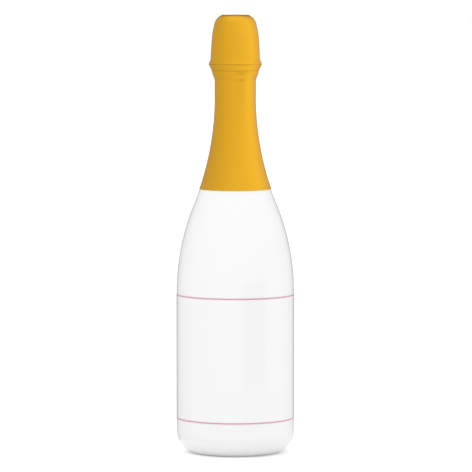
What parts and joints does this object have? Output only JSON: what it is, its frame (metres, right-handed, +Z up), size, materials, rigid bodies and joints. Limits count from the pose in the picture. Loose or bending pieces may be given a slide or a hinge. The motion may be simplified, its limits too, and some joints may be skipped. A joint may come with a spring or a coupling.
{
  "type": "champagne bottle",
  "caption": "Corked sparkling wine bottle in white glass with a gold foil capsule, wire cage and blank label",
  "frame": {"origin": "centre of the foot ring, on the surface the bottle stands on", "axes": "+Z up along the bottle's axis, the label faces -Y"},
  "size_m": [0.0884, 0.0882, 0.3281],
  "materials": {
    "white_glass": "gloss",
    "wine": "gloss",
    "label_paper": "satin",
    "gold_foil": "satin",
    "pressed_cork": "matte",
    "whole_cork": "matte",
    "plaque_tin": "gloss",
    "cage_wire": "satin"
  },
  "bodies": {
    "bottle": {"glass_bottle": "white_glass", "sparkling_wine": "wine", "front_label": "label_paper", "foil_skirt": "gold_foil", "tear_strip": "gold_foil"},
    "tab": {"tear_tab": "gold_foil"},
    "cork": {"cork_body": "pressed_cork", "cork_disc_upper": "whole_cork", "cork_disc_lower": "whole_cork"},
    "cage": {"cage_plaque": "plaque_tin", "cage_frame": "cage_wire", "cage_eyes": "cage_wire", "cage_belt": "cage_wire"},
    "capsule_head": {"foil_head": "gold_foil", "foil_top_disc": "gold_foil"}
  },
  "joints": [
    {"name": "cork_pull", "type": "slide", "parent": "bottle", "child": "cork", "axis": [0, 0, 1], "range_m": [0, 0.06], "deforming": ["cage_eyes", "cage_belt"]},
    {"name": "cage_lift", "type": "slide", "parent": "cork", "child": "cage", "axis": [0, 0, 1], "range_m": [0, 0.045], "deforming": ["cage_eyes", "cage_belt"]},
    {"name": "capsule_head_lift", "type": "slide", "parent": "cage", "child": "capsule_head", "axis": [0, 0, 1], "range_m": [0, 0.045]},
    {"name": "tear_tab_lift", "type": "hinge", "parent": "bottle", "child": "tab", "pos_m": [0, 0.01812, 0.2871], "axis": [1, 0, 0], "range_deg": [0, 120]}
  ]
}
